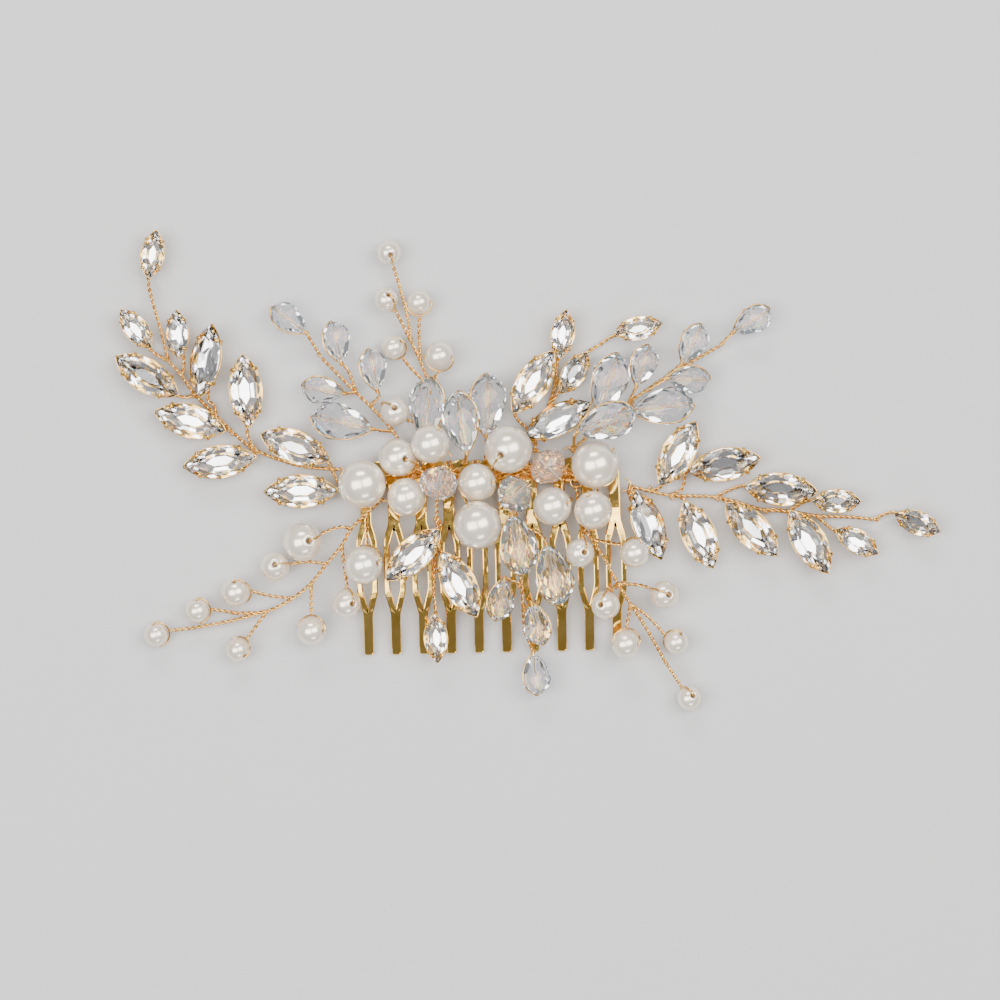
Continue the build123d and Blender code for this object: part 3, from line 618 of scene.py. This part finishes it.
def stoneWires(stone, route):
    # a pair that runs up under the stone, from behind its tip to below its belly
    length, width = stoneSizes[stone[0]]
    centre, along, face = stonePlane(stone)
    under = stoneWire["depth"] * width + stoneWire["below"]
    atTip = centre - along * (0.5 * length + stoneWire["tipGap"]) - face * under
    atBelly = centre - along * stoneWire["belly"] * length - face * under
    return twistedPair([*route, atTip, atBelly], wire["branchStrand"])


def rootDirections(stem):
    # the way a stem leaves its root, and the axis it is bent about
    heading = math.degrees(math.atan2(stem[1][1] - stem[0][1], stem[1][0] - stem[0][0]))
    return direction(heading), direction(heading - 90)


wireMakers = {"stones": stoneWires, "drops": dropWires, "pearls": pearlWires}


def stemWires(name, sprig):
    # the stem and its eye, then each ornament's wires from the nearest place on the stem
    stem = sprig["stem"]
    first, second = np.array(stem[0]), np.array(stem[1])
    start = first + unit(second - first) * wire["stemStart"]
    main = smoothPath([start, *stem[1:]], wire["step"])
    _, hinge = rootDirections(stem)
    grids = twistedPair(main, wire["stemStrand"])
    grids.append(coil("eye", first, hinge))
    for kind, maker in wireMakers.items():
        for item in sprig.get(kind, []):
            away = np.linalg.norm(main - np.array(stem[item[6]]), axis=1)
            route = [main[np.argmin(away)], *[np.array(point) for point in item[7]]]
            grids.extend(maker(item, route))
            # a short wrap where the branch leaves the stem
            onward = unit((route[1] if len(route) > 1 else np.array(item[1:4])) - route[0])
            grids.append(coil("branchWrap", route[0] + onward * wire["wrapAt"], onward))
    body, replaced = f"{name}_sprig", [f"{name}_stem_wire"]
    pieceFrom(f"{name}_stem_wires", grids, "wireGold", body, replaced)


# pearls

pearlShape = {
    # radii of the bore and of its rounded rim: a fixed part, then a share of the pearl's radius
    "bore": (0.34, 0.07), "rim": (0.06, 0.09),
    "lip": (0.3, 0.12),  # the rim's middle point, in rims out from the bore and in from the mouth
    "rows": 30, "sides": 32, "steepest": 0.95,
    "names": {5: "small", 6: "medium", 8: "large"},
}


def pearlGrid(centre, axis, diameter):
    # a sphere's half circle with rounded rims, closed by its bore, turned round the bore
    radius = diameter / 2
    bore, rim = [first + share * radius for first, share in (pearlShape["bore"], pearlShape["rim"])]
    start = math.asin((bore + rim) / radius)
    polar = np.linspace(start, np.pi - start, pearlShape["rows"])
    outer = np.stack([radius * np.sin(polar), radius * np.cos(polar)], axis=1)
    mouth = outer[0, 1]
    lipOut, lipIn = pearlShape["lip"]
    lip = np.array([[bore + lipOut * rim, mouth - lipIn * rim], [bore, mouth - rim]])
    profile = np.vstack([outer, lip * [1, -1], lip[::-1]])
    ring = ringRound(*axesAcross(axis, pearlShape["steepest"]), pearlShape["sides"])
    verts = centre + profile[:, :1, None] * ring + profile[:, 1:, None] * axis
    return verts.reshape(-1, 3), gridFaces(len(profile), pearlShape["sides"], True)


def makePearls(name, pearls, body):
    grids = [pearlGrid(np.array(p[1:4]), direction(p[4], p[5]), p[0]) for p in pearls]
    pieceFrom(name + "_beads", grids, "pearlCoat", body, [name])


for sprigName, sprig in sprigs.items():
    stemWires(sprigName, sprig)
    for diameter, word in pearlShape["names"].items():
        alike = [pearl for pearl in sprig.get("pearls", []) if pearl[0] == diameter]
        if alike:
            makePearls(f"{sprigName}_{word}_pearls", alike, f"{sprigName}_sprig")
spinning = {body.removesuffix("_bead") for body in frame["bodies"] if body.endswith("_bead")}
for beadName, pearl in centrePearls.items():
    makePearls(beadName, [pearl], f"{beadName}_bead" if beadName in spinning else "comb_base")
print("sprigs and pearls made")

# cut stones: a merged copy of each, foil on the facets that face down

merging = {"distance": 2e-6, "flatAngle": 0.7}  # metres, degrees


def mergedCopy(node, name, body):
    piece = addObject(name, frame["nodes"][node].data.copy())
    piece.data.name = name
    work = bmesh.new()
    work.from_mesh(piece.data)
    bmesh.ops.remove_doubles(work, verts=work.verts, dist=merging["distance"])
    flat = math.radians(merging["flatAngle"])
    bmesh.ops.dissolve_limit(work, angle_limit=flat, verts=work.verts, edges=work.edges)
    work.to_mesh(piece.data)
    work.free()
    piece.data.materials.clear()
    piece.data.polygons.foreach_set("use_smooth", [False] * len(piece.data.polygons))
    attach(piece, body)
    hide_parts(node)
    return piece


def readFaces(mesh, what):
    values = np.empty(len(mesh.polygons) * 3)
    mesh.polygons.foreach_get(what, values)
    return values.reshape(-1, 3)


def makeStones(node, stones, body):
    # each facet belongs to the nearest stone, and its normal is compared with that stone's face
    piece = mergedCopy(node, node + "_cut", body)
    piece.data.materials.append(looks["stoneGlass"])
    piece.data.materials.append(looks["stoneFoil"])
    centres = readFaces(piece.data, "center") / mm
    planes = [stonePlane(stone) for stone in stones]
    middles = np.array([plane[0] for plane in planes])
    faces = np.array([plane[2] for plane in planes])
    owner = np.argmin(np.linalg.norm(centres[:, None] - middles[None], axis=2), axis=1)
    down = (readFaces(piece.data, "normal") * faces[owner]).sum(axis=1) < foilLook["facing"]
    piece.data.polygons.foreach_set("material_index", down.astype(np.int32))
    piece.data.update()


for sprigName, sprig in sprigs.items():
    for size in stoneSizes:
        alike = [stone for stone in sprig.get("stones", []) if stone[0] == size]
        if alike:
            makeStones(f"{sprigName}_{size}_stones", alike, f"{sprigName}_sprig")


setting = {
    # rows of the cup: share of the stone's outline, height as a share of the stone's width
    "outer": [(1.05, -0.02), (1.04, -0.09), (0.80, -0.27), (0.50, -0.41), (0.10, -0.45)],
    "inner": [(0.10, -0.40), (0.36, -0.375), (0.66, -0.25), (1.01, -0.04)],
    # claw: shares of its place along, of its stand-off, of its reach inwards, of the stone's width
    "claw": [
        (0.92, 0.62, 0, -0.30), (1, 0.97, 0, -0.14), (1, 1, 0, 0), (1, 1, 0.12, 0.07),
        (1, 1, 1, 0.115), (1, 1, 1.25, 0.11),
    ],
    "clawAt": 0.30, "clawRadius": 0.44, "clawStand": 0.16, "clawReach": 0.78, "clawStep": 0.22,
    "clawTip": [0.95, 0.8, 0.45], "halfWidth": 0.485, "outlinePoints": 20,
}


def boatOutline(halfLength, halfWidth, count):
    # two equal arcs through the tips and the widest points, walked once round
    arc = (halfLength**2 + halfWidth**2) / (2 * halfWidth)
    swing = math.asin(halfLength / arc)
    turn = np.linspace(-swing, swing, count + 1)[:-1]
    upper = np.stack([-arc * np.sin(turn), arc * np.cos(turn) - (arc - halfWidth)], axis=1)
    return np.vstack([upper, -upper])


def settingGrids(stone):
    # the outline shrunk and lowered row by row, and four claws bent over its edge
    length, width = stoneSizes[stone[0]]
    centre, along, face = stonePlane(stone)
    axes = np.stack([along, np.cross(face, along), face])
    outline = boatOutline(length / 2, setting["halfWidth"] * width, setting["outlinePoints"])
    rows = np.array(setting["outer"] + setting["inner"])
    flat = outline[None] * rows[:, :1, None]
    height = np.broadcast_to((rows[:, 1] * width)[:, None, None], (*flat.shape[:2], 1))
    cup = np.concatenate([flat, height], axis=2).reshape(-1, 3)
    grids = [(centre + cup @ axes, gridFaces(len(rows), len(outline), True))]
    scale = width / stoneSizes["large"][1]
    x = setting["clawAt"] * length
    arc = (length**2 / 4 + width**2 / 4) / width
    edge = math.sqrt(arc**2 - x**2) - (arc - width / 2)
    out, reach = edge + setting["clawStand"] * scale, setting["clawReach"] * scale
    bend = np.array(setting["claw"])
    inwards = out * bend[:, 1] - reach * bend[:, 2]
    claw = np.stack([x * bend[:, 0], inwards, width * bend[:, 3]], axis=1)
    for sideX in (-1, 1):
        for sideY in (-1, 1):
            path = smoothPath(claw * [sideX, sideY, 1], setting["clawStep"] * scale)
            radii = setting["clawRadius"] * scale * np.ones(len(path))
            radii[-3:] *= setting["clawTip"]
            grids.append(tubeAlong(centre + path @ axes, radii))
    return grids


for sprigName, sprig in sprigs.items():
    if sprig.get("stones"):
        cups = [grid for stone in sprig["stones"] for grid in settingGrids(stone)]
        node, body = f"{sprigName}_settings", f"{sprigName}_sprig"
        pieceFrom(node + "_cups", cups, "settingGold", body, [node])

# drops and crystals keep their own shape and take a finished material
crystalLooks = {
    "left_crystal": "blushGlass", "right_crystal": "blushGlass", "middle_crystal": "clearGlass",
}
for node, thing in frame["nodes"].items():
    look = "dropGlass" if node.endswith("_drops") else crystalLooks.get(node)
    if look:
        for place in thing.material_slots:
            place.material = looks[look]
print("stones and drops dressed")

# the comb, its edges rounded

combEdge = {"width": 0.27, "segments": 3, "angle": 35}

combPiece = mergedCopy("comb", "comb_sheet", "comb_base")
combPiece.data.materials.append(looks["combGold"])
bevel = combPiece.modifiers.new("edges", "BEVEL")
bevel.width = combEdge["width"] * mm
bevel.segments = combEdge["segments"]
bevel.limit_method = "ANGLE"
bevel.angle_limit = math.radians(combEdge["angle"])
bevel.use_clamp_overlap = False
print("comb made")

# the wire on the spine

spine = {"tilt": 15, "sheet": 0.9, "pitch": 5.77, "teeth": 10, "low": -3.15, "high": 1.72}
spineTilt = math.radians(spine["tilt"])
halfSpan = (spine["teeth"] - 1) * spine["pitch"] / 2


def spinePlace(x, up, off):
    # a point on the leaning spine: up its face, off out from its back
    y = up * math.cos(spineTilt) + off * math.sin(spineTilt)
    z = -up * math.sin(spineTilt) + off * math.cos(spineTilt)
    return np.stack(np.broadcast_arrays(x, y, z), axis=-1).astype(float)


def spineTop(y):
    # height of the spine's front face above the table
    return spine["sheet"] / math.cos(spineTilt) - y * math.tan(spineTilt)


binding = {
    "thickness": 0.15, "wraps": 6, "sidePoints": 8, "sides": 6,
    # in thicknesses: how far a turn stands off, and what each further layer adds
    "standOff": 1.05, "layerOut": 1.3, "layerLow": 0.5, "layerHigh": 0.9,
    # in millimetres from the middle of a gap: first turn, its neighbours' distance, the turns' tops
    "first": 0.15, "apart": 0.22, "top": 2.45, "lean": 0.34, "leanFrom": 0.2,
    "waverLow": 0.06, "waverHigh": 0.08,
}


def spineWrap(lowX, highX, layer):
    # one turn of thin wire round the spine: a rounded box that slants from gap to notch
    thick = binding["thickness"]
    out = thick * (binding["standOff"] + binding["layerOut"] * layer)
    low = spine["low"] - binding["layerLow"] * layer * thick
    high = spine["high"] + binding["layerHigh"] * layer * thick
    back, front = -binding["standOff"] * thick, spine["sheet"] + out
    steps = np.linspace(0, 1, binding["sidePoints"] + 1)[:-1, None]
    corners = np.array([
        [0, low, back], [1, spine["high"], back], [1, high, front], [0, low, front],
    ])
    line = np.vstack([(1 - steps) * corners[i] + steps * corners[(i + 1) % 4] for i in range(4)])
    x = lowX + (highX - lowX) * line[:, 0]
    points = smoothClosed(spinePlace(x, line[:, 1], line[:, 2]))
    return tubeAlong(points, thick, binding["sides"], closed=True)


def makeBinding():
    grids = []
    for gap in range(spine["teeth"] - 1):
        middle = (gap + 0.5) * spine["pitch"] - halfSpan
        for side in (-1, 1):
            for turn in range(binding["wraps"]):
                waver = rng.uniform(-binding["waverLow"], binding["waverLow"])
                lowX = middle + side * (binding["first"] + binding["apart"] * turn + waver)
                lean = binding["lean"] * (turn / binding["wraps"] - binding["leanFrom"])
                highX = middle + side * (binding["top"] + lean)
                highX += rng.uniform(-binding["waverHigh"], binding["waverHigh"])
                grids.append(spineWrap(lowX, highX, (turn * 2) % 3))
    pieceFrom(
        "spine_binding", grids, "bindingGold", "comb_base", ["binding_wire"]
    )


tangle = {
    "count": 54, "thickness": 0.15, "span": (2.5, 8.0), "lift": (0.5, 2.4), "endGap": 2,
    "across": (-2.2, 1.2), "base": 0.35, "step": 0.3, "sides": 6,
    # along the loop: where its four points are, and their height as a share of its lift
    "shares": np.array([0, 0.3, 0.7, 1]), "hump": np.array([0.1, 1, 0.85, 0.1]),
}


def makeTangle():
    # loose turns of the binding between the beads: low humps along the front of the spine
    grids = []
    for _ in range(tangle["count"]):
        start = rng.uniform(-halfSpan, halfSpan - tangle["endGap"])
        end = min(halfSpan, start + rng.uniform(*tangle["span"]))
        y = rng.uniform(*tangle["across"], 4)
        lift = rng.uniform(*tangle["lift"]) * tangle["hump"]
        x = start + (end - start) * tangle["shares"]
        z = spineTop(y) + tangle["base"] + lift
        path = smoothPath(np.stack([x, y, z], axis=1), tangle["step"])
        grids.append(tubeAlong(path, tangle["thickness"], tangle["sides"]))
    pieceFrom("binding_loops", grids, "bindingGold", "comb_base")


baseWire = {"radius": 0.19, "half": 1.05, "flare": 1.2, "length": 1.5, "step": 0.15}


def makeAnchors():
    # each base wire leaves the binding, passes through a sprig's eye and goes back
    grids = []
    half = baseWire["half"]
    for sprig in sprigs.values():
        root = np.array(sprig["stem"][0])
        outwards, hinge = rootDirections(sprig["stem"])
        feet = [
            root + hinge * side * half * baseWire["flare"] - outwards * baseWire["length"]
            for side in (-1, 1)
        ]
        corners = [feet[0], root - hinge * half, root + hinge * half, feet[1]]
        grids.append(tubeAlong(smoothPath(corners, baseWire["step"]), baseWire["radius"]))
    pieceFrom("base_wires", grids, "wireGold", "comb_base", ["anchor_wires"])


centreWire = {
    "radius": 0.18, "clear": 0.32, "crystalClear": 0.2, "joinAt": 1.06, "footLift": 0.72,
    "footRange": (-1.9, 1.4), "steepen": [0.35, 0.35, 1], "shortest": 0.6,
}


def centreLoop(centre, radius, axis, footX):
    # wire through a bead on the spine, round under it, and down to the binding
    centre = np.array(centre)
    reach = radius + centreWire["clear"]
    lowest, highest = centreWire["footRange"]
    footY = max(lowest, min(highest, centre[1]))
    foot = np.array([footX, footY, spineTop(footY) + centreWire["footLift"]])
    down = (foot - centre) * centreWire["steepen"]
    under = unit(down - axis * down.dot(axis))
    grids = [beadLoop(centre, axis, under, reach, centreWire["radius"])]
    start = centre + under * reach * centreWire["joinAt"]
    if np.linalg.norm(foot - start) > centreWire["shortest"]:
        grids.extend(twistedPair([start, foot], centreWire["radius"]))
    return grids


def makeCentreWires():
    grids = []
    for name, (diameter, x, y, z, heading, rise) in centrePearls.items():
        footX = wireFootX.get(name, x)
        grids += centreLoop((x, y, z), diameter / 2, direction(heading, rise), footX)
    crystalReach = crystalDiameter / 2 + centreWire["crystalClear"]
    for x, y, z, heading, rise in centreCrystals.values():
        grids += centreLoop((x, y, z), crystalReach, direction(heading, rise), x)
    pieceFrom("centre_wires", grids, "wireGold", "comb_base", ["centre_bead_wires"])


def makeCrownWires():
    grids = []
    for drop, foot in zip(crownDrops, crownWireFeet):
        grids += dropWires(drop, [np.array(foot)])
    pieceFrom("crown_wires", grids, "wireGold", "comb_base", ["crown_drop_wires"])


makeBinding()
makeTangle()
makeAnchors()
makeCentreWires()
makeCrownWires()
print("spine wires made")

# floor, light and camera

studio = {
    "floorColour": (0.60, 0.595, 0.59), "floorShade": 0.985, "floorCloud": (30, 2, (0.3, 0.7)),
    "floorRoughness": 0.6, "floorHalf": 1.5, "floorGap": 0.0004,
    "worldColour": (0.26, 0.26, 0.27), "worldStrength": 1.0,
    # camera: middle and width of the view in millimetres, lens in millimetres, turn in degrees
    "viewX": 2.056, "viewY": -6.29, "viewAcross": 208.3, "lens": 150, "turn": -1.2,
    "viewLift": 0.004, "clip": (0.01, 20),
    # name, place, size, power, in metres and watts
    "softboxes": [
        ("leftPanel", (-0.46, -0.06, 0.96), (0.62, 0.86), 13.0),
        ("rightPanel", (0.46, 0.16, 0.96), (0.62, 0.86), 13.0),
        ("upperSoftbox", (-0.10, 0.74, 0.58), (0.50, 0.22), 4.0),
        ("lowerSoftbox", (0.20, -0.78, 0.46), (0.40, 0.16), 1.6),
    ],
}


def makeFloor():
    half = studio["floorHalf"]
    low = float(cadBox[0][2]) - studio["floorGap"]
    mesh = bpy.data.meshes.new("floor")
    corners = [(-half, -half, low), (half, -half, low), (half, half, low), (-half, half, low)]
    mesh.from_pydata(corners, [], [(0, 1, 2, 3)])
    floor = addObject("floor", mesh)
    roughness = {"Roughness": studio["floorRoughness"]}
    material, nodes, links, shader = newMaterial("floorPaint", roughness)
    colour = studio["floorColour"]
    shade = tuple(channel * studio["floorShade"] for channel in colour)
    paint(nodes, links, shader.inputs["Base Color"], studio["floorCloud"], (shade, colour))
    mesh.materials.append(material)


def makeLights():
    world = bpy.data.worlds.new("room")
    world.use_nodes = True
    background = world.node_tree.nodes["Background"]
    background.inputs[0].default_value = (*studio["worldColour"], 1)
    background.inputs[1].default_value = studio["worldStrength"]
    bpy.context.scene.world = world
    for name, place, (sizeX, sizeY), power in studio["softboxes"]:
        light = bpy.data.lights.new(name, "AREA")
        light.shape, light.size, light.size_y, light.energy = "RECTANGLE", sizeX, sizeY, power
        lamp = addObject(name, light)
        lamp.location = place
        lamp.rotation_euler = (-Vector(place)).to_track_quat("-Z", "Y").to_euler()


def makeCamera():
    data = bpy.data.cameras.new("camera")
    data.lens = studio["lens"]
    data.clip_start, data.clip_end = studio["clip"]
    camera = addObject("camera", data)
    height = studio["viewAcross"] * mm * studio["lens"] / data.sensor_width
    camera.location = (studio["viewX"] * mm, studio["viewY"] * mm, height + studio["viewLift"])
    camera.rotation_euler = (0, 0, math.radians(studio["turn"]))
    bpy.context.scene.camera = camera


makeFloor()
makeLights()
makeCamera()
triangles = 0
for piece in bpy.context.scene.objects:
    if piece.type == "MESH" and not piece.hide_render:
        piece.data.calc_loop_triangles()
        triangles += len(piece.data.loop_triangles)
print("triangles before modifiers:", triangles)
